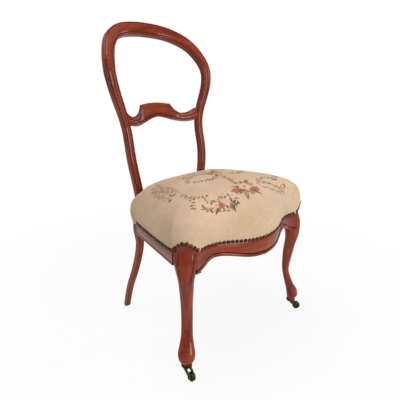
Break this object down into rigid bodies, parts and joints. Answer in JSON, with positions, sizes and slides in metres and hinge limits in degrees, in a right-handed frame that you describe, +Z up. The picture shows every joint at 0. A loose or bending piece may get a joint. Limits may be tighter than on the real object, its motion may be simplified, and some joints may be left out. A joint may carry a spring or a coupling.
{
  "type": "balloon back chair",
  "caption": "Side chair with an open balloon-shaped back, curved mid rail, sprung and stuffed needlepoint seat, cabriole front legs on castors and raked rear legs.",
  "frame": {"origin": "on the floor at the middle of the chair's outline seen from above", "axes": "+Z up, -Y towards the front of the seat, +X towards the right-hand side of the chair seen from the front"},
  "size_m": [0.5038, 0.5584, 0.8997],
  "materials": {
    "mahogany": "polished",
    "beech": "raw",
    "antique_brass": "aged",
    "aged_brass": "aged, worn",
    "dark_steel": "blued",
    "spring_steel": "coppered",
    "webbing": "woven jute",
    "twine": "flax",
    "hessian": "coarse woven",
    "stuffing": "fibre",
    "needlepoint": "needlepoint with flowers"
  },
  "bodies": {
    "chair": {"castor_pin_left": "aged_brass", "castor_pin_right": "aged_brass", "castor_plate_left": "aged_brass", "castor_plate_right": "aged_brass", "castor_screws_left": "dark_steel", "castor_screws_right": "dark_steel", "corner_block_screws": "dark_steel", "crest_dowels": "beech", "crest_rail": "mahogany", "front_corner_block_left": "beech", "front_corner_block_right": "beech", "front_leg_left": "mahogany", "front_leg_right": "mahogany", "front_seat_rail": "mahogany", "mid_rail": "mahogany", "nails_front": "antique_brass", "nails_knee_left": "antique_brass", "nails_knee_right": "antique_brass", "nails_side_left": "antique_brass", "nails_side_right": "antique_brass", "rear_corner_block_left": "beech", "rear_corner_block_right": "beech", "rear_cover_tacks": "dark_steel", "rear_leg_stile_left": "mahogany", "rear_leg_stile_right": "mahogany", "rear_seat_rail": "beech", "seat_cover": "needlepoint", "seat_spring_1": "spring_steel", "seat_spring_2": "spring_steel", "seat_spring_3": "spring_steel", "seat_spring_4": "spring_steel", "seat_spring_5": "spring_steel", "seat_stuffing": "stuffing", "side_seat_rail_left": "mahogany", "side_seat_rail_right": "mahogany", "spring_hessian": "hessian", "spring_twine": "twine", "webbing_crosswise": "webbing", "webbing_lengthwise": "webbing", "webbing_tacks": "dark_steel"},
    "castor_right": {"castor_fork_right": "aged_brass", "castor_axle_right": "aged_brass"},
    "wheel_right": {"castor_wheel_right": "aged_brass"},
    "castor_left": {"castor_fork_left": "aged_brass", "castor_axle_left": "aged_brass"},
    "wheel_left": {"castor_wheel_left": "aged_brass"}
  },
  "joints": [
    {"name": "castor_swivel_right", "type": "hinge", "parent": "chair", "child": "castor_right", "pos_m": [0.22415, -0.21535, 0.032], "axis": [0, 0, 1], "continuous": true},
    {"name": "wheel_spin_right", "type": "hinge", "parent": "castor_right", "child": "wheel_right", "pos_m": [0.23991, -0.22766, 0.012], "axis": [0.6157, 0.788, 0], "continuous": true},
    {"name": "castor_swivel_left", "type": "hinge", "parent": "chair", "child": "castor_left", "pos_m": [-0.22985, -0.21535, 0.032], "axis": [0, 0, 1], "continuous": true},
    {"name": "wheel_spin_left", "type": "hinge", "parent": "castor_left", "child": "wheel_left", "pos_m": [-0.23125, -0.2353, 0.012], "axis": [0.9976, -0.0698, 0], "continuous": true}
  ]
}
